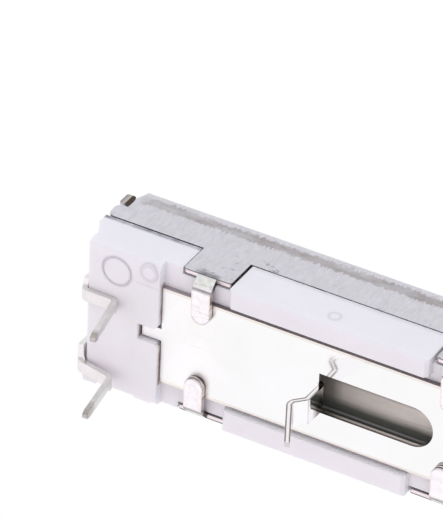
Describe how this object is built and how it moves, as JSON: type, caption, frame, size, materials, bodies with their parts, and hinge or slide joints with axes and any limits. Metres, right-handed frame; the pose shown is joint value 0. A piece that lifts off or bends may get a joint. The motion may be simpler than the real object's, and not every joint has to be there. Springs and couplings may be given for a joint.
{
  "type": "slide potentiometer",
  "caption": "Straight slide potentiometer: folded steel cover clinched over a moulded housing, flat solder pins, bent earth lugs and a flat metal lever.",
  "frame": {"origin": "middle of the cover's top face, at the centre of the line between the two tapped panel-screw holes", "axes": "+Z out of the cover along the lever, +X along the travel (the end with two solder pins is at -X), +Y across the body"},
  "size_m": [0.0726, 0.0092, 0.0202],
  "materials": {
    "steel_cover": "tinned sheet, satin with fine scratches",
    "nylon": "natural white nylon, slightly translucent",
    "tin_plate": "bright tinned sheet, mirror smooth",
    "phenolic": "paper laminate, matt",
    "carbon_ink": "printed carbon ink",
    "silver_ink": "printed silver ink",
    "tinned_strip": "dull hot tin",
    "rivet_brass": "plated, satin",
    "acetal": "black acetal, satin",
    "steel_lever": "nickel plated, satin",
    "bronze": "spring bronze, bright"
  },
  "bodies": {
    "frame": {"cover": "steel_cover", "housing": "nylon", "bottom_plate": "tin_plate", "resistor_board": "phenolic", "resistive_track": "carbon_ink", "collector_track": "silver_ink", "silver_pad_left": "silver_ink", "silver_pad_right": "silver_ink", "terminal_1": "tinned_strip", "terminal_2": "tinned_strip", "terminal_3": "tinned_strip", "rivet_1": "rivet_brass", "rivet_2": "rivet_brass", "rivet_3": "rivet_brass"},
    "slider": {"carrier": "acetal", "lever": "steel_lever", "wiper": "bronze", "friction_spring": "bronze"}
  },
  "joints": [
    {"name": "lever_slide", "type": "slide", "parent": "frame", "child": "slider", "axis": [1, 0, 0], "range_m": [-0.0225, 0.0225]}
  ]
}
